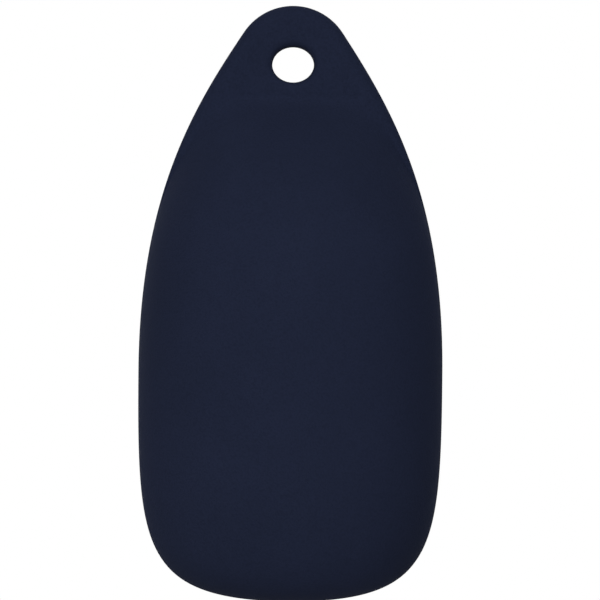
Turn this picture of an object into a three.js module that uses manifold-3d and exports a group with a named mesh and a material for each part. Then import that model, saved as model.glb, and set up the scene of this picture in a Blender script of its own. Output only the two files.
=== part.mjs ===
// A drop-shaped boat fender: one inflated vinyl moulding with a flat hanging eye, and a valve screw in its base.
// Millimetres, +Z up, the fender's front facing -Y. The origin is the centre of the hanging eye.
import * as THREE from "three";
import { mergeVertices } from "three/addons/utils/BufferGeometryUtils.js";
import Module from "manifold-3d";

// The outline seen from the front
const eyeRadius = 44.5; // rounded top of the tab, about the eye's centre
const flankAngle = 33.4; // degrees from the vertical at which the flanks leave the rounded top
const bellyRadius = 115; // half of the fender's greatest width
const bellyDrop = 232; // from the eye's centre down to the greatest width
const skirtHeight = 173.5; // from the greatest width down to the bottom of the base

// How full the outline's curves are, as parts of the height or half-width that each one spans
const flankReach = 0.26; // the flank's straight start
const shoulderFullness = 0.52; // the belly's upright side, upwards
const skirtFullness = 0.795; // the belly's upright side, downwards
const baseFlatness = 0.965; // the flat of the base, outwards

// The tab and how it swells into the round body
const tabThickness = 24;
const tabEdge = 11; // width of the rounding round the tab's rim
const tabMargin = 3.5; // flat left below the eye's mouth before the body starts to swell
const crotchReach = 0.1; // the hollow between tab and body, as part of the dome's height
const domeFullness = 0.82; // the belly's upright side, upwards, as part of the dome's height
const neckLength = 120; // from the flat tab down to where the section has become an oval
const webWidth = 11; // what the thin web stands out from the neck on each side
const neckSquareness = 3.6; // exponent of the neck's section at the tab, where 2 is an oval
const neckSpread = 1.5; // exponent of the neck's flanks at the tab, where 0.5 is an oval

// The hanging eye
const eyeWidth = 31.6;
const eyeHeight = 27.4;
const eyeLip = 6; // radius of the rounded mouths

// The screw valve in the base
const headRadius = 8;
const headThickness = 2.6;
const headBevel = 0.6;
const headSink = 1.3; // how far the head's face lies inside the base
const shankRadius = 5;
const shankLength = 8.5; // beyond the head
const slotWidth = 2;
const slotDepth = 1.4;
const pocketRoom = 3; // free ring round the head
const pocketBevel = 0.9; // round the pocket's mouth
const airSpace = 6; // bore left open beyond the shank
const gap = 0.3; // clearance between touching pieces

// How finely the surfaces are divided
const columns = 80;
const bunching = 0.12; // how far the columns draw together towards the sides, in radians
const arcSteps = 9;
const flankSteps = 32;
const skirtSteps = 21;
const eyeColumns = 44;
const lipSteps = 5;
const turnedSides = 48;

const wasm = await Module();
wasm.setup();

const { smoothstep, lerp, degToRad } = THREE.MathUtils;

// A closed geometry as a solid that can be cut: corners are shared, and triangles without area left out.
function solid(geometry) {
  const bare = new THREE.BufferGeometry();
  bare.setAttribute("position", geometry.attributes.position);
  bare.setIndex(geometry.index);
  const merged = mergeVertices(bare, 1e-4);
  const corners = merged.index.array;
  const faces = [];
  for (let i = 0; i < corners.length; i += 3) {
    const [a, b, c] = [corners[i], corners[i + 1], corners[i + 2]];
    if (a !== b && b !== c && c !== a) faces.push(a, b, c);
  }
  return new wasm.Manifold(
    new wasm.Mesh({
      numProp: 3,
      vertProperties: merged.attributes.position.array,
      triVerts: new Uint32Array(faces),
    }),
  );
}

function geometryOf(shape) {
  const mesh = shape.getMesh();
  const geometry = new THREE.BufferGeometry();
  geometry.setAttribute("position", new THREE.BufferAttribute(mesh.vertProperties, 3));
  geometry.setIndex(new THREE.BufferAttribute(mesh.triVerts, 1));
  geometry.computeVertexNormals();
  return geometry;
}

// A skin over rings of points, listed from the top down and each anticlockwise seen from above,
// closed at a single point at either end.
function loft(top, rings, bottom) {
  const count = rings[0].length;
  const points = [top, ...rings.flat(), bottom];
  const last = points.length - 1;
  const at = (ring, column) => 1 + ring * count + (column % count);
  const faces = [];
  for (let j = 0; j < count; j++) {
    faces.push(0, at(0, j), at(0, j + 1));
    faces.push(last, at(rings.length - 1, j + 1), at(rings.length - 1, j));
    for (let i = 0; i + 1 < rings.length; i++) {
      faces.push(at(i + 1, j), at(i + 1, j + 1), at(i, j + 1));
      faces.push(at(i + 1, j), at(i, j + 1), at(i, j));
    }
  }
  return new THREE.BufferGeometry().setFromPoints(points).setIndex(faces);
}

// A profile of [radius, height] pairs, from axis to axis with the height rising, turned about Z.
function turn(profile) {
  const points = profile.map(([radius, height]) => new THREE.Vector2(radius, height));
  return new THREE.LatheGeometry(points, turnedSides).rotateX(Math.PI / 2);
}

// The front outline, as half-width against height: the eye's arc, the flank down to the belly, and the skirt.
const flank = degToRad(flankAngle);
const arcEnd = new THREE.Vector2(Math.cos(flank), Math.sin(flank)).multiplyScalar(eyeRadius);
const belly = new THREE.Vector2(bellyRadius, -bellyDrop);
const base = new THREE.Vector2(0, -bellyDrop - skirtHeight);
const flankHeight = arcEnd.y - belly.y;
const flankCurve = new THREE.CubicBezierCurve(
  arcEnd,
  new THREE.Vector2(Math.sin(flank), -Math.cos(flank)).multiplyScalar(flankReach * flankHeight).add(arcEnd),
  new THREE.Vector2(belly.x, belly.y + shoulderFullness * flankHeight),
  belly,
);
const skirtCurve = new THREE.CubicBezierCurve(
  belly,
  new THREE.Vector2(belly.x, belly.y - skirtFullness * skirtHeight),
  new THREE.Vector2(baseFlatness * belly.x, base.y),
  base,
);

function frontOutline() {
  const arc = [];
  for (let i = 1; i <= arcSteps; i++) {
    const angle = lerp(Math.PI / 2, flank, i / arcSteps);
    arc.push(new THREE.Vector2(eyeRadius * Math.cos(angle), eyeRadius * Math.sin(angle)));
  }
  const flankPoints = flankCurve.getPoints(flankSteps).slice(1);
  const skirtPoints = skirtCurve.getPoints(skirtSteps).slice(1, -1);
  return [...arc, ...flankPoints, ...skirtPoints];
}

// The side outline, as half-depth against height: the flat tab, then the dome down to the belly.
const tabFoot = new THREE.Vector2(tabThickness / 2, -eyeHeight / 2 - eyeLip - tabMargin);
const domeHeight = tabFoot.y - belly.y;
const domeCurve = new THREE.CubicBezierCurve(
  tabFoot,
  new THREE.Vector2(tabFoot.x, tabFoot.y - crotchReach * domeHeight),
  new THREE.Vector2(belly.x, belly.y + domeFullness * domeHeight),
  belly,
);

function halfDepth(height, halfWidth) {
  if (height >= tabFoot.y) return tabFoot.x;
  if (height <= belly.y) return halfWidth;
  let low = 0;
  let high = 1;
  for (let i = 0; i < 40; i++) {
    const middle = (low + high) / 2;
    if (domeCurve.getPoint(middle).y > height) low = middle;
    else high = middle;
  }
  return domeCurve.getPoint(low).x;
}

// How far inside the front outline a point of the tab or its webs lies.
function insetOf(x, height, halfWidth) {
  if (height > arcEnd.y) return eyeRadius - Math.hypot(x, height);
  return (halfWidth - Math.abs(x)) * Math.cos(flank);
}

// Half the fender's depth at a point of its front view. A round-edged web thins away down the neck, and on it
// stands the swollen neck, whose section goes from a soft-sided plateau at the tab to an oval.
function halfDepthAt(x, height, halfWidth) {
  const roundness = smoothstep(-height, -tabFoot.y, neckLength - tabFoot.y);
  const web = tabFoot.x * (1 - roundness);
  const inset = Math.min(insetOf(x, height, halfWidth) / tabEdge, 1);
  const edge = Math.sqrt(Math.max(1 - (1 - inset) ** 2, 0));
  const swell = halfDepth(height, halfWidth) - web;
  const reach = halfWidth - Math.min(webWidth, halfWidth / 2) * (1 - roundness) ** 2;
  const across = Math.min(Math.abs(x) / reach, 1);
  const squareness = lerp(neckSquareness, 2, roundness);
  const spread = lerp(neckSpread, 0.5, roundness);
  return web * edge + swell * (1 - across ** squareness) ** spread;
}

function bodyRing({ x: halfWidth, y: height }) {
  const ring = [];
  for (let j = 0; j < columns; j++) {
    const angle = (2 * Math.PI * j) / columns;
    const x = halfWidth * Math.cos(angle - bunching * Math.sin(2 * angle));
    const side = Math.sign(columns - 2 * j) * Math.sign(j);
    ring.push(new THREE.Vector3(x, side * halfDepthAt(x, height, halfWidth), height));
  }
  return ring;
}

// The eye's cutter: an oval spool along Y, flaring in a quarter round to a mouth at either face of the tab.
function eyeCutter() {
  const throat = tabThickness / 2 - eyeLip;
  const half = [];
  for (let i = 0; i <= lipSteps; i++) {
    const angle = (i / lipSteps) * degToRad(83);
    half.push([eyeLip * (1 - Math.cos(angle)), throat + eyeLip * Math.sin(angle)]);
  }
  half.push([eyeLip, tabThickness]);
  const stations = [...half.toReversed(), ...half.map(([flare, depth]) => [flare, -depth])];
  const rings = stations.map(([flare, depth]) => {
    const oval = new THREE.EllipseCurve(0, 0, eyeWidth / 2 + flare, eyeHeight / 2 + flare);
    return oval.getPoints(eyeColumns).slice(0, -1).map(({ x, y }) => new THREE.Vector3(x, y, depth));
  });
  const front = new THREE.Vector3(0, 0, tabThickness);
  return loft(front, rings, front.clone().negate()).rotateX(Math.PI / 2);
}

// Heights of the valve's parts, from the base upwards
const headFace = base.y + headSink;
const headSeat = headFace + headThickness;
const pocketFloor = headSeat + gap;
const shankEnd = headSeat + shankLength;
const boreEnd = shankEnd + airSpace;

function valvePocketCutter() {
  const boreRadius = shankRadius + gap;
  const pocketRadius = headRadius + pocketRoom;
  const beyond = 1; // what the cutter stands out below the base
  return turn([
    [0, base.y - beyond],
    [pocketRadius + pocketBevel + beyond, base.y - beyond],
    [pocketRadius, base.y + pocketBevel],
    [pocketRadius, pocketFloor],
    [boreRadius, pocketFloor],
    [boreRadius, boreEnd],
    [0, boreEnd],
  ]);
}

function fenderBody() {
  const rings = frontOutline().map(bodyRing);
  const skin = loft(new THREE.Vector3(0, 0, eyeRadius), rings, new THREE.Vector3(0, 0, base.y));
  return geometryOf(solid(skin).subtract(solid(eyeCutter())).subtract(solid(valvePocketCutter())));
}

function valveScrew() {
  const blank = turn([
    [0, headFace],
    [headRadius - headBevel, headFace],
    [headRadius, headFace + headBevel],
    [headRadius, headSeat],
    [shankRadius, headSeat],
    [shankRadius, shankEnd - headBevel],
    [shankRadius - headBevel, shankEnd],
    [0, shankEnd],
  ]);
  const slot = new THREE.BoxGeometry(3 * headRadius, slotWidth, 2 * slotDepth).translate(0, 0, headFace);
  return geometryOf(solid(blank).subtract(solid(slot)));
}

const navyVinyl = new THREE.MeshStandardMaterial({ color: 0x1e2436, roughness: 0.6, metalness: 0 });
const blackNylon = new THREE.MeshStandardMaterial({ color: 0x16171a, roughness: 0.5, metalness: 0 });

function piece(name, geometry, material) {
  const mesh = new THREE.Mesh(geometry, material);
  mesh.name = name;
  return mesh;
}

const fender = new THREE.Group();
fender.add(piece("fender_body", fenderBody(), navyVinyl));
fender.add(piece("valve_screw", valveScrew(), blackNylon));

export default fender;
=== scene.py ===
# A navy drop-shaped boat fender, hanging in front of white. The dictionaries hold millimetres unless a note
# says otherwise, and the meshes are made in metres, in the frame of the CAD part.
import math

import bmesh
import bpy
import numpy as np
from mathutils import Matrix


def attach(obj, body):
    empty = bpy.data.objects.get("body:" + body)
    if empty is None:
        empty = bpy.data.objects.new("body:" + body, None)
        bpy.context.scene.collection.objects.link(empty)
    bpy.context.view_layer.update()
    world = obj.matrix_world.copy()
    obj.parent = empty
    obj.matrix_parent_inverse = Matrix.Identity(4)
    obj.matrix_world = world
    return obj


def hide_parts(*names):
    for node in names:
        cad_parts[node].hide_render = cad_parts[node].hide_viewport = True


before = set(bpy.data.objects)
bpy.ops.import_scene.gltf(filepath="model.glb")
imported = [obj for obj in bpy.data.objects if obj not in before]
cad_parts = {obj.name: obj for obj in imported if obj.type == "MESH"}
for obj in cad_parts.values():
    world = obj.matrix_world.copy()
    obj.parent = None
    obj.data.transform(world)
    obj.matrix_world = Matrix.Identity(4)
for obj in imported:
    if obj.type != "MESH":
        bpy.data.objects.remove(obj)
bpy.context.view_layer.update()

scene = bpy.context.scene
millimetre = 0.001
joinDistance = 1e-6  # metres
roundColumns = 96    # points round the screw and round the floor
print("frame loaded, nodes:", ", ".join(sorted(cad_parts)))

cameraSetup = {
    "distance": 2.6,       # metres from the fender
    "frameWidth": 0.4550,  # metres across the picture at the fender
    "aimX": 0.0068,        # metres, the point in the middle of the picture
    "aimZ": -0.1782,
    "roll": 0.504,         # degrees, so that the fender leans a little, as pictured
    "sensor": 36.0,
    "clipEnd": 50.0,       # metres
}


# Level with the fender and a long way off; the lens is as long as the distance makes the frame narrow.
def addCamera():
    s = cameraSetup
    lens = bpy.data.cameras.new("camera")
    lens.sensor_width = s["sensor"]
    lens.lens = s["sensor"] * s["distance"] / s["frameWidth"]
    lens.clip_end = s["clipEnd"]
    camera = bpy.data.objects.new("camera", lens)
    scene.collection.objects.link(camera)
    place = Matrix.Translation((s["aimX"], -s["distance"], s["aimZ"]))
    turn = Matrix.Rotation(math.radians(90), 4, "X") @ Matrix.Rotation(math.radians(s["roll"]), 4, "Z")
    camera.matrix_world = place @ turn
    scene.camera = camera


addCamera()
print("camera set")


# Quads between the points of a grid, whose index runs along each row in turn. With closed set, the last
# column joins the first. Cells listed in the windows (rows from, to, columns from, to) stay open.
def gridFaces(rows, columns, closed, windows=()):
    i = np.arange(rows - 1)[:, None]
    j = np.arange(columns if closed else columns - 1)
    a, b = i * columns + j, i * columns + (j + 1) % columns
    quads = np.stack([a, b, b + columns, a + columns], axis=-1)
    keep = np.ones(quads.shape[:2], bool)
    for top, bottom, first, last in windows:
        keep[top:bottom, first:last] = False
    return quads[keep]


# Joins points that lie together, which also closes seams and poles, turns the faces to point out, and
# smooths them. An edge is open unless two faces share it.
def closeMesh(mesh):
    work = bmesh.new()
    work.from_mesh(mesh)
    bmesh.ops.remove_doubles(work, verts=work.verts, dist=joinDistance)
    bmesh.ops.recalc_face_normals(work, faces=work.faces)
    work.to_mesh(mesh)
    work.free()
    mesh.polygons.foreach_set("use_smooth", np.ones(len(mesh.polygons), bool))
    sides = np.empty(len(mesh.loops), np.int32)
    mesh.loops.foreach_get("edge_index", sides)
    openEdges = np.count_nonzero(np.bincount(sides, minlength=len(mesh.edges)) != 2)
    print(f"{mesh.name}: {len(mesh.polygons)} faces, {openEdges} open edges")


# One smooth mesh from grids of points, each (points [rows, columns, xyz], closed, windows) in millimetres.
def meshFromGrids(name, grids):
    points, faces, start = [], [], 0
    for grid, closed, windows in grids:
        rows, columns = grid.shape[:2]
        points.append(grid.reshape(-1, 3))
        faces.append(gridFaces(rows, columns, closed, windows) + start)
        start += rows * columns
    mesh = bpy.data.meshes.new(name)
    mesh.from_pydata(np.concatenate(points) * millimetre, [], np.concatenate(faces).tolist())
    closeMesh(mesh)
    return mesh


# An object at the origin, whose place is in its mesh.
def addPiece(name, mesh):
    piece = bpy.data.objects.new(name, mesh)
    scene.collection.objects.link(piece)
    return piece


fender = {
    "eyeRadius": 44.5,     # rounded top of the tab, about the eye
    "flankAngle": 33.4,    # degrees from the vertical
    "bellyRadius": 115.0,
    "bellyDrop": 232.0,    # below the eye
    "skirtHeight": 173.5,  # belly to base
    "flankReach": 0.26,    # the reaches and fullnesses are shares of a curve's rise or drop
    "shoulderFullness": 0.52,
    "skirtFullness": 0.795,
    "baseFlatness": 0.965,  # share of the belly's radius
    "tabThickness": 24.0,
    "tabEdge": 11.0,       # width of the rounding round the rim
    "tabFoot": -23.2,      # height at which the tab starts to swell
    "crotchReach": 0.1,
    "domeFullness": 0.82,
    "neckLength": 120.0,   # from the tab's foot down to the oval section
    "webWidth": 11.0,      # flat left outside the swell at the tab's foot
    "neckSquareness": 3.6,  # powers of the swell at the tab's foot
    "neckSpread": 1.5,
    "eyeWidth": 31.6,
    "eyeHeight": 27.4,
    "eyeLip": 6.0,
    "partingHeight": 0.3,  # the mould's parting line
    "partingWidth": 0.6,
    "partingFade": (16, 28),  # half-widths between which the line fades out towards the base's middle
}

# How finely the body is divided.
divisions = {
    "curve": 4000,         # points along a dense curve, from which rows are picked
    "arc": 31,             # rows round the top of the tab
    "levels": (-75, -150),  # heights between the tab's foot and the belly where the spacing changes
    "rows": (28, 44, 36, 22),  # rows from the arc to the foot, through the levels, to the belly
    "skirt": 60,           # rows from the belly to the valve
    "quarter": 58,         # columns in a quarter turn
    "windowRows": 27,      # the window in the tab for the eye
    "windowSide": 9,       # its columns on either side of the middle
    "rays": 9,             # rows from the window's rim to the eye's lip
    "lip": 12,
    "bore": 5,
    "corner": 8,           # points round each corner of the valve's pocket
}

valve = {
    "headRadius": 8.0,
    "headThickness": 2.6,
    "headSink": 1.3,       # from the base up to the head
    "headBevel": 0.7,      # the rounding of the head's edge and of the shank's end
    "seatBevel": 0.25,
    "groove": (3.4, 3.7, 4.0, 4.3),  # radii of a fine groove round the head: its edges and its floor
    "grooveDepth": 0.12,
    "shankRadius": 5.0,
    "shankLength": 8.5,
    "slotWidth": 2.0,
    "slotDepth": 1.4,
    "slotEdge": 0.12,      # width of the bevel on the slot's edges
    "slotEdgeAngle": 50,   # degrees between two faces that get the bevel
    "creaseAngle": 40,     # degrees between two faces that look sharp
    "corner": 7,           # points round each corner
    "pocketRadius": 11.0,
    "pocketBevel": 0.9,
    "mouthRise": 0.14,     # what the base has risen at the pocket's mouth
    "mouthMargin": 0.6,    # from the last row of the skirt to the pocket's bevel
    "boreRadius": 5.3,
    "fillet": 0.5,
    "airSpace": 6.0,       # beyond the end of the shank
    "gap": 0.3,            # between the head and its seat
}


# A cubic curve through the first and last of four points, aimed at the two between.
def bezier(points, count):
    t = np.linspace(0, 1, count)[:, None]
    a, b, c, d = (np.array(p, float) for p in points)
    return (1 - t) ** 3 * a + 3 * (1 - t) ** 2 * t * b + 3 * (1 - t) * t**2 * c + t**3 * d


# From 0 at low to 1 at high, level at both ends: 3 t^2 - 2 t^3.
def smoothstep(x, low, high):
    t = np.clip((x - low) / (high - low), 0, 1)
    return t * t * (3 - 2 * t)


# The front outline as dense [half-width, height] rows: the eye's arc, the flank down to the belly, and the
# skirt down to the middle of the base. The arc's rows draw together at the top by a square law.
def outlineCurves(f):
    flank = math.radians(f["flankAngle"])
    angle = math.pi / 2 - np.linspace(0, 1, divisions["arc"]) ** 2 * (math.pi / 2 - flank)
    arc = f["eyeRadius"] * np.stack([np.cos(angle), np.sin(angle)], axis=1)
    start = arc[-1]
    rise = start[1] + f["bellyDrop"]
    reach = f["flankReach"] * rise
    belly = (f["bellyRadius"], -f["bellyDrop"])
    base = -f["bellyDrop"] - f["skirtHeight"]
    flankCurve = bezier([
        start,
        (start[0] + reach * math.sin(flank), start[1] - reach * math.cos(flank)),
        (belly[0], belly[1] + f["shoulderFullness"] * rise),
        belly,
    ], divisions["curve"])
    skirtCurve = bezier([
        belly,
        (belly[0], belly[1] - f["skirtFullness"] * f["skirtHeight"]),
        (f["baseFlatness"] * belly[0], base),
        (0, base),
    ], divisions["curve"])
    return arc, flankCurve, skirtCurve


# Half the depth in side view: the flat tab, then one curve swelling to the belly, then the half-width.
def halfDepthInSide(height, halfWidth):
    f = fender
    foot, belly = f["tabFoot"], -f["bellyDrop"]
    rise = foot - belly
    dome = bezier([
        (f["tabThickness"] / 2, foot),
        (f["tabThickness"] / 2, foot - f["crotchReach"] * rise),
        (f["bellyRadius"], belly + f["domeFullness"] * rise),
        (f["bellyRadius"], belly),
    ], divisions["curve"])
    depth = np.interp(-height, -dome[:, 1], dome[:, 0])
    return np.where(height <= belly, halfWidth, depth)


# Half the depth at a point of the front view. A round-edged web, a quarter oval wide, thins away down the
# neck. On it stands the swell, (1 - across ^ squareness) ^ spread, which turns into an oval section.
def halfDepth(x, height, halfWidth):
    f = fender
    half = f["tabThickness"] / 2
    flank = math.radians(f["flankAngle"])
    roundness = smoothstep(-height, -f["tabFoot"], f["neckLength"] - f["tabFoot"])
    web = half * (1 - roundness)
    inset = np.where(
        height > f["eyeRadius"] * math.sin(flank),
        f["eyeRadius"] - np.hypot(x, height),
        (halfWidth - np.abs(x)) * math.cos(flank),
    )
    inset = np.clip(inset / f["tabEdge"], 0, 1)
    edge = np.sqrt(1 - (1 - inset) ** 2)
    swell = halfDepthInSide(height, halfWidth) - web
    reach = halfWidth - np.minimum(f["webWidth"], halfWidth / 2) * (1 - roundness) ** 2
    across = np.clip(np.abs(x) / np.maximum(reach, 1e-6), 0, 1)
    squareness = f["neckSquareness"] + (2 - f["neckSquareness"]) * roundness
    spread = f["neckSpread"] + (0.5 - f["neckSpread"]) * roundness
    return web * edge + swell * (1 - across**squareness) ** spread


# Direction straight out of an outline, as [across, up]: its slope turned by a right angle.
def outwards(rows):
    slope = np.gradient(rows, axis=0)
    normal = np.stack([-slope[:, 1], slope[:, 0]], axis=1)
    return normal / np.linalg.norm(normal, axis=1, keepdims=True)


# Rows picked from a dense curve at the heights given.
def pickHeights(curve, heights):
    return np.stack([np.interp(-heights, -curve[:, 1], curve[:, 0]), heights], axis=1)


# Rows picked from a dense curve, evenly spaced along it.
def pickEvenly(curve, count):
    length = np.concatenate([[0], np.cumsum(np.hypot(*np.diff(curve, axis=0).T))])
    spaced = np.linspace(0, length[-1], count)
    return np.stack([np.interp(spaced, length, curve[:, k]) for k in (0, 1)], axis=1)


# Angles round the body, drawn together by a square law towards the parting line on either side.
def columnAngles(quarter):
    first = (np.arange(quarter) / quarter) ** 2 * (math.pi / 2)
    half = np.concatenate([first, [math.pi / 2], math.pi - first[:0:-1]])
    return np.concatenate([half, half + math.pi])


# A quarter round in a [radius, height] profile. Its rows stand off its corner by (1 - cos) of the angle
# across and (1 - sin) up, or the other way round where the profile comes in along its height.
def quarterRound(radius, height, across, up, count, alongHeight=False):
    turn = np.linspace(0, math.pi / 2, count)
    shares = [1 - np.cos(turn), 1 - np.sin(turn)]
    if alongHeight:
        shares.reverse()
    return np.stack([radius + across * shares[0], height + up * shares[1]], axis=1)


# A profile of [radius, height] rows turned about the axis: x = radius * cos, y = radius * sin.
def turnedGrid(rows, t):
    radius, height = rows[:, :1] + 0 * t, rows[:, 1:] + 0 * t
    return np.stack([radius * np.cos(t), radius * np.sin(t), height], axis=-1)


# The valve's pocket as [radius, height] rows: rounded mouth, wall, floor and bore.
def pocketRows(base):
    v = valve
    wall, bevel, fillet, corner = v["pocketRadius"], v["pocketBevel"], v["fillet"], divisions["corner"]
    floor = base + v["headSink"] + v["headThickness"] + v["gap"]
    boreEnd = floor - v["gap"] + v["shankLength"] + v["airSpace"]
    return np.concatenate([
        quarterRound(wall, base + v["mouthRise"], bevel, bevel, corner, alongHeight=True),
        quarterRound(wall, floor, -fillet, -fillet, corner),
        [
            [v["boreRadius"] + fillet, floor],
            [v["boreRadius"], floor + fillet],
            [v["boreRadius"], boreEnd],
            [0, boreEnd],
        ],
    ])


# The body: rings of x = half-width * cos, y = the half depth there, from the tip of the tab to the bottom of
# the valve's bore. The parting line stands out by height * e ^ -(depth / width)^2. Two windows are left
# open in the tab for the eye.
def bodyMesh():
    f, d = fender, divisions
    arc, flankCurve, skirtCurve = outlineCurves(f)
    base = skirtCurve[-1, 1]
    levels = [arc[-1, 1], f["tabFoot"], *d["levels"], -f["bellyDrop"]]
    heights = np.concatenate([
        np.linspace(high, low, count)[1:] for high, low, count in zip(levels, levels[1:], d["rows"])])
    upper = np.concatenate([arc[1:], pickHeights(flankCurve, heights)])
    wide = skirtCurve[:, 0] > valve["pocketRadius"] + valve["pocketBevel"] + valve["mouthMargin"]
    skirt = pickEvenly(skirtCurve[wide], d["skirt"])[1:]
    outline = np.concatenate([arc[:1], upper, skirt])
    out = outwards(outline)[1:]
    rows = outline[1:]

    quarter = d["quarter"]
    t = columnAngles(quarter)
    halfWidth, height = rows[:, :1] + 0 * t, rows[:, 1:] + 0 * t
    x = halfWidth * np.cos(t)
    depth = halfDepth(x, height, halfWidth)
    y = np.sign(np.round(np.sin(t), 9)) * depth
    strength = f["partingHeight"] * smoothstep(rows[:, 0], *f["partingFade"])
    strength[: len(arc) - 1] = f["partingHeight"]
    rise = strength[:, None] * np.exp(-((y / f["partingWidth"]) ** 2))
    x = x + rise * out[:, :1] * np.cos(t)
    z = height + rise * out[:, 1:]
    body = np.stack([x, y, z], axis=-1)
    tip = np.zeros((1, len(t), 3)) + [0, 0, f["eyeRadius"] + f["partingHeight"]]
    rings = np.concatenate([tip, body, turnedGrid(pocketRows(base), t)])

    top = len(arc) - 1
    windows = [
        (top, top + d["windowRows"], middle - d["windowSide"], middle + d["windowSide"])
        for middle in (quarter, 3 * quarter)
    ]
    grids = [(rings, True, windows)]
    for window in windows:
        grids.append((eyeGrid(rings, window), True, ()))
    return meshFromGrids("fenderSkin", grids)


# The eye, from a window's rim inwards: straight rays to the oval mouth, a quarter round lip, and the bore to
# the middle of the tab. The oval is (width / 2 + flare) * cos, (height / 2 + flare) * sin.
def eyeGrid(rings, window):
    f, d = fender, divisions
    top, bottom, first, last = window
    rim = np.concatenate([
        rings[bottom, first:last],
        rings[bottom:top:-1, last],
        rings[top, last:first:-1],
        rings[top:bottom, first],
    ])
    face = np.sign(rim[:, 1]) * f["tabThickness"] / 2
    wide, tall, lip = f["eyeWidth"] / 2, f["eyeHeight"] / 2, f["eyeLip"]
    turn = np.arctan2(rim[:, 2] / (tall + lip), rim[:, 0] / (wide + lip))
    mouth = np.stack([(wide + lip) * np.cos(turn), face, (tall + lip) * np.sin(turn)], axis=1)
    along = np.linspace(0, 1, d["rays"])[:, None, None]
    rays = rim + (mouth - rim) * along
    lean = np.linspace(math.pi / 2, 0, d["lip"])[1:, None]
    flare = lip * (1 - np.cos(lean))
    lipDepth = (f["tabThickness"] / 2 - lip + lip * np.sin(lean)) * np.sign(face)
    lipRows = np.stack([
        (wide + flare) * np.cos(turn),
        lipDepth,
        (tall + flare) * np.sin(turn),
    ], axis=-1)
    inwards = np.linspace(1, 0, d["bore"])[1:, None, None]
    bore = lipRows[-1] * [1, 0, 1] + inwards * lipRows[-1] * [0, 1, 0]
    return np.concatenate([rays, lipRows, bore])


# The valve screw, turned: a head with rounded corners and a fine groove, then the shank.
def screwMesh(base):
    v = valve
    face = base + v["headSink"]
    seat = face + v["headThickness"]
    end = seat + v["shankLength"]
    bevel, small, corner = v["headBevel"], v["seatBevel"], v["corner"]
    inner, floorFrom, floorTo, outer = v["groove"]
    floor = face + v["grooveDepth"]
    rows = np.concatenate([
        [[0, face], [inner, face], [floorFrom, floor], [floorTo, floor], [outer, face]],
        quarterRound(v["headRadius"], face, -bevel, bevel, corner, alongHeight=True),
        quarterRound(v["headRadius"], seat, -small, -small, corner),
        [[v["shankRadius"], seat]],
        quarterRound(v["shankRadius"], end, -bevel, -bevel, corner),
        [[0, end]],
    ])
    t = np.linspace(0, 2 * math.pi, roundColumns, endpoint=False)
    return meshFromGrids("valveScrew", [(turnedGrid(rows, t), True, ())])


# A box of quads round the middle point, for cutting.
def boxMesh(name, middle, size):
    corners = np.array([[x, y, z] for x in (-0.5, 0.5) for y in (-0.5, 0.5) for z in (-0.5, 0.5)])
    quads = [[0, 1, 3, 2], [4, 6, 7, 5], [0, 4, 5, 1], [2, 3, 7, 6], [0, 2, 6, 4], [1, 5, 7, 3]]
    mesh = bpy.data.meshes.new(name)
    mesh.from_pydata((corners * size + middle) * millimetre, [], quads)
    return mesh


# Cuts the coin slot across the head, bevels its edges, and puts the finished surface back into the mesh.
def cutSlot(screw, base):
    v = valve
    face = base + v["headSink"]
    cutter = addPiece("slotCutter", boxMesh(
        "slotCutter", [0, 0, face], [4 * v["headRadius"], v["slotWidth"], 2 * v["slotDepth"]]))
    cut = screw.modifiers.new("slot", "BOOLEAN")
    cut.operation, cut.solver, cut.object = "DIFFERENCE", "EXACT", cutter
    edge = screw.modifiers.new("edge", "BEVEL")
    edge.width, edge.segments, edge.limit_method = v["slotEdge"] * millimetre, 2, "ANGLE"
    edge.angle_limit = math.radians(v["slotEdgeAngle"])
    finished = bpy.data.meshes.new_from_object(screw.evaluated_get(bpy.context.evaluated_depsgraph_get()))
    screw.modifiers.clear()
    screw.data = finished
    bpy.data.objects.remove(cutter)
    closeMesh(finished)
    finished.set_sharp_from_angle(angle=math.radians(v["creaseAngle"]))


baseHeight = -fender["bellyDrop"] - fender["skirtHeight"]
skin = addPiece("fenderSkin", bodyMesh())
screw = addPiece("valveScrew", screwMesh(baseHeight))
cutSlot(screw, baseHeight)
for piece, node, finish in ((skin, "fender_body", "navy_vinyl"), (screw, "valve_screw", "black_nylon")):
    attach(piece, "root")
    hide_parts(node)
print("fender and valve screw made")


# A node with its settings. Its inputs are values, or sockets to link from.
def addNode(tree, kind, inputs=(), **settings):
    node = tree.nodes.new(kind)
    for key, value in settings.items():
        setattr(node, key, value)
    for socket, value in dict(inputs).items():
        if isinstance(value, bpy.types.NodeSocket):
            tree.links.new(value, node.inputs[socket])
        else:
            node.inputs[socket].default_value = value
    return node


# Carries a value from one range into another, and holds it there.
def mapRange(tree, value, source, target=(0.0, 1.0)):
    return addNode(tree, "ShaderNodeMapRange", {
        "Value": value, "From Min": source[0], "From Max": source[1],
        "To Min": target[0], "To Max": target[1]}).outputs["Result"]


# A colour between two others. The Mix node's colours go by number: 6 and 7 in, 2 out.
def mixColours(tree, factor, first, second):
    return addNode(tree, "ShaderNodeMix", {
        "Factor": factor, 6: (*first, 1), 7: (*second, 1)}, data_type="RGBA").outputs[2]


# The group's inputs, and the key in a finish that each is set from.
surfaceInputs = {
    "Clouds": "clouds",
    "Pebbles": "pebbles",
    "Grain": "grain",
    "Pebble Height": "pebbleHeight",
    "Grain Height": "grainHeight",
}

# HollowShade is the mask of the hollows between the pebbles, where painted shade darkens the colour.
surfaceShape = {
    "grainInHollowShade": 0.4,    # the rest of Hollow is pebbles
    "pebblesInGloss": 0.35,  # the rest of Gloss is clouds
    "noiseRange": (0.3, 0.7),      # where most of Tone and Gloss lies
    "hollowShadeRange": (0.36, 0.58),
}
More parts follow.
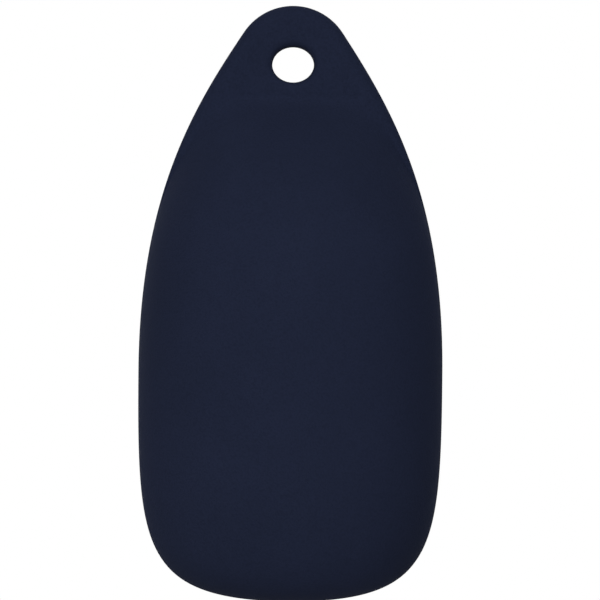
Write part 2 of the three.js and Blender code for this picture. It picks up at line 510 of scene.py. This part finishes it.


# A moulded surface at three sizes: broad clouds of tone, pebbles like orange peel, and a fine grain.
# Sizes go in as repeats to the metre. Tone, HollowShade and Gloss come out from 0 to 1, and Relief in
# metres. HollowShade marks the hollows between the pebbles, which painted shade darkens.
def mouldedSurfaceGroup():
    group = bpy.data.node_groups.new("mouldedSurface", "ShaderNodeTree")
    add = group.interface.new_socket
    add("Place", in_out="INPUT", socket_type="NodeSocketVector")
    for name in surfaceInputs:
        add(name, in_out="INPUT", socket_type="NodeSocketFloat")
    for name in ("Tone", "HollowShade", "Gloss", "Relief"):
        add(name, in_out="OUTPUT", socket_type="NodeSocketFloat")
    start = group.nodes.new("NodeGroupInput").outputs
    end = group.nodes.new("NodeGroupOutput")
    clouds, pebbles, grain = (
        addNode(group, "ShaderNodeTexNoise", {
            "Vector": start["Place"], "Scale": start[size], "Detail": detail, "Roughness": roughness,
        }).outputs["Fac"]
        for size, detail, roughness in (("Clouds", 4.0, 0.55), ("Pebbles", 1.5, 0.45), ("Grain", 2.0, 0.6))
    )
    hollowShadeMask = addNode(group, "ShaderNodeMix", {
        "Factor": surfaceShape["grainInHollowShade"], "A": pebbles, "B": grain}, data_type="FLOAT")
    gloss = addNode(group, "ShaderNodeMix", {
        "Factor": surfaceShape["pebblesInGloss"], "A": clouds, "B": pebbles}, data_type="FLOAT")
    high = addNode(group, "ShaderNodeMath", {0: pebbles, 1: start["Pebble Height"]}, operation="MULTIPLY")
    low = addNode(group, "ShaderNodeMath", {0: grain, 1: start["Grain Height"]}, operation="MULTIPLY")
    relief = addNode(group, "ShaderNodeMath", {0: high.outputs[0], 1: low.outputs[0]}, operation="ADD")
    group.links.new(clouds, end.inputs["Tone"])
    group.links.new(hollowShadeMask.outputs["Result"], end.inputs["HollowShade"])
    group.links.new(gloss.outputs["Result"], end.inputs["Gloss"])
    group.links.new(relief.outputs[0], end.inputs["Relief"])
    return group


mouldedSurface = mouldedSurfaceGroup()

vinylFinish = {
    "name": "navyVinyl",
    # The tones are the navy with a painted reflection of the white surroundings mixed in, paler and less
    # blue than the bare vinyl.
    "darkTone": (0.0122, 0.0164, 0.0350),   # linear colours
    "lightTone": (0.0142, 0.0188, 0.0402),
    # painted shade: the tone is darkened in the hollows between the pebbles
    "hollowShadeTone": 0.80,     # share of the tone left in the hollows between the pebbles
    "roughness": (0.80, 0.92),
    "specular": 0.02,
    "clouds": 11.0,         # clouds, pebbles and grain are repeats to the metre
    "pebbles": 620.0,
    "grain": 3000.0,
    "pebbleHeight": 0.00022,  # metres, as the grain's height is
    "grainHeight": 0.000045,
}

nylonFinish = {
    "name": "blackNylon",
    "darkTone": (0.0075, 0.0080, 0.0095),
    "lightTone": (0.0100, 0.0106, 0.0122),
    # painted shade in the hollows, fainter than on the vinyl
    "hollowShadeTone": 0.9,
    "roughness": (0.46, 0.62),
    "specular": 0.14,
    "clouds": 60.0,
    "pebbles": 1400.0,
    "grain": 5200.0,
    "pebbleHeight": 0.00001,
    "grainHeight": 0.000006,
}


# Moulded plastic: tone and gloss wander between two values each, painted shade makes the hollows a little
# darker, and the relief lifts the surface.
def mouldedMaterial(f):
    material = bpy.data.materials.new(f["name"])
    material.use_nodes = True
    tree = material.node_tree
    shader = tree.nodes["Principled BSDF"]
    place = addNode(tree, "ShaderNodeTexCoord").outputs["Object"]
    inputs = {socket: f[key] for socket, key in surfaceInputs.items()}
    surface = addNode(
        tree, "ShaderNodeGroup", {"Place": place, **inputs}, node_tree=mouldedSurface).outputs
    noiseRange = surfaceShape["noiseRange"]
    tone = mapRange(tree, surface["Tone"], noiseRange)
    colour = mixColours(tree, tone, f["darkTone"], f["lightTone"])
    # Painted shade: the colour is darker in the hollows between the pebbles.
    shade = mapRange(tree, surface["HollowShade"], surfaceShape["hollowShadeRange"], (f["hollowShadeTone"], 1.0))
    colourWithHollowShade = addNode(tree, "ShaderNodeVectorMath", {0: colour, "Scale": shade}, operation="SCALE")
    gloss = mapRange(tree, surface["Gloss"], noiseRange, f["roughness"])
    bump = addNode(tree, "ShaderNodeBump", {"Strength": 1.0, "Distance": 1.0, "Height": surface["Relief"]})
    tree.links.new(colourWithHollowShade.outputs[0], shader.inputs["Base Color"])
    tree.links.new(gloss, shader.inputs["Roughness"])
    tree.links.new(bump.outputs["Normal"], shader.inputs["Normal"])
    shader.inputs["Specular IOR Level"].default_value = f["specular"]
    return material


for piece, finish in ((skin, vinylFinish), (screw, nylonFinish)):
    piece.data.materials.clear()
    piece.data.materials.append(mouldedMaterial(finish))
print("materials made")

studio = {
    "floorDrop": 0.30,      # metres from the fender's base down to the floor
    "floorRadius": 3.2,
    "floorColour": (0.50, 0.50, 0.50),
    "floorRoughness": 0.9,
    "floorGlow": (0.45, 0.9),  # what the camera sees on top of the lit floor, in the middle and at the rim
    "glowReach": (0.5, 2.88),  # metres from the middle between which the glow grows
    "ambient": 0.09,
    "lampAim": -0.18,       # metres, the height that the lamps point at
}

# Each lamp: degrees to the left of the front, degrees up, metres away, metres wide and high, and watts.
lamps = {
    "front": (0, 0, 2.6, 1.5, 1.6, 49),
    "left": (32, 8, 2.6, 1.5, 1.6, 9),
    "side": (90, 10, 2.6, 1.5, 1.6, 16),
    "right": (-62, 56, 2.6, 1.5, 1.5, 17),
    "above": (0, 75, 2.6, 1.5, 1.5, 10),
    "backLeft": (150, 14, 2.8, 1.3, 1.6, 26),
    "backRight": (-156, 14, 2.8, 1.3, 1.6, 28),
    "backAbove": (180, 55, 2.6, 1.4, 1.4, 14),
}
fillLamps = ("backLeft", "backRight", "backAbove")   # these give no highlights


# White wherever a camera, glossy or transmission ray leaves the scene, and a plain grey for the rest.
def setWorld():
    world = bpy.data.worlds.new("studio")
    scene.world = world
    world.use_nodes = True
    tree = world.node_tree
    background = tree.nodes["Background"]
    path = addNode(tree, "ShaderNodeLightPath").outputs
    some = addNode(tree, "ShaderNodeMath", {
        0: path["Is Camera Ray"], 1: path["Is Glossy Ray"]}, operation="MAXIMUM")
    seen = addNode(tree, "ShaderNodeMath", {
        0: some.outputs[0], 1: path["Is Transmission Ray"]}, operation="MAXIMUM")
    level = mixColours(tree, seen.outputs[0], [studio["ambient"]] * 3, (1, 1, 1))
    tree.links.new(level, background.inputs["Color"])


# A round floor well under the hanging fender, with a glow for the camera on top of its light and shadow.
# From below it is clear, so that the fender's base shows.
def addFloor():
    s = studio
    t = np.linspace(0, 2 * math.pi, roundColumns, endpoint=False)
    height = baseHeight * millimetre - s["floorDrop"]
    ring = np.stack([np.cos(t), np.sin(t), 0 * t], axis=1) * s["floorRadius"] + [0, 0, height]
    mesh = bpy.data.meshes.new("floor")
    mesh.from_pydata(ring, [], [list(range(len(t)))])
    material = bpy.data.materials.new("floor")
    material.use_nodes = True
    tree = material.node_tree
    shader = tree.nodes["Principled BSDF"]
    shader.inputs["Base Color"].default_value = (*s["floorColour"], 1)
    shader.inputs["Roughness"].default_value = s["floorRoughness"]
    shader.inputs["Specular IOR Level"].default_value = 0.0
    path = addNode(tree, "ShaderNodeLightPath").outputs
    place = addNode(tree, "ShaderNodeTexCoord").outputs["Object"]
    flat = addNode(tree, "ShaderNodeVectorMath", {0: place, 1: (1, 1, 0)}, operation="MULTIPLY")
    outward = addNode(tree, "ShaderNodeVectorMath", {0: flat.outputs[0]}, operation="LENGTH")
    level = mapRange(tree, outward.outputs["Value"], s["glowReach"], s["floorGlow"])
    glow = addNode(tree, "ShaderNodeMath", {0: path["Is Camera Ray"], 1: level}, operation="MULTIPLY")
    shader.inputs["Emission Color"].default_value = (1, 1, 1, 1)
    tree.links.new(glow.outputs[0], shader.inputs["Emission Strength"])
    under = addNode(tree, "ShaderNodeNewGeometry").outputs["Backfacing"]
    hidden = addNode(tree, "ShaderNodeMath", {0: path["Is Camera Ray"], 1: under}, operation="MULTIPLY")
    clear = addNode(tree, "ShaderNodeBsdfTransparent")
    mixed = addNode(tree, "ShaderNodeMixShader", {
        0: hidden.outputs[0], 1: shader.outputs[0], 2: clear.outputs[0]})
    tree.links.new(mixed.outputs[0], tree.nodes["Material Output"].inputs["Surface"])
    mesh.materials.append(material)
    floor = addPiece("floor", mesh)


# A soft rectangle of light, pointed at the fender.
def addLamp(name, left, up, away, width, height, watts):
    light = bpy.data.lights.new(name, "AREA")
    light.shape = "RECTANGLE"
    light.size, light.size_y = width, height
    light.energy = watts
    lamp = bpy.data.objects.new(name, light)
    scene.collection.objects.link(lamp)
    turn = Matrix.Rotation(math.radians(-left), 4, "Z") @ Matrix.Rotation(math.radians(90 - up), 4, "X")
    middle = Matrix.Translation((0, 0, studio["lampAim"]))
    lamp.matrix_world = middle @ turn @ Matrix.Translation((0, 0, away))
    lamp.visible_glossy = name not in fillLamps


setWorld()
addFloor()
for name, values in lamps.items():
    addLamp(name, *values)
scene.view_settings.view_transform = "Standard"
print("studio lit")
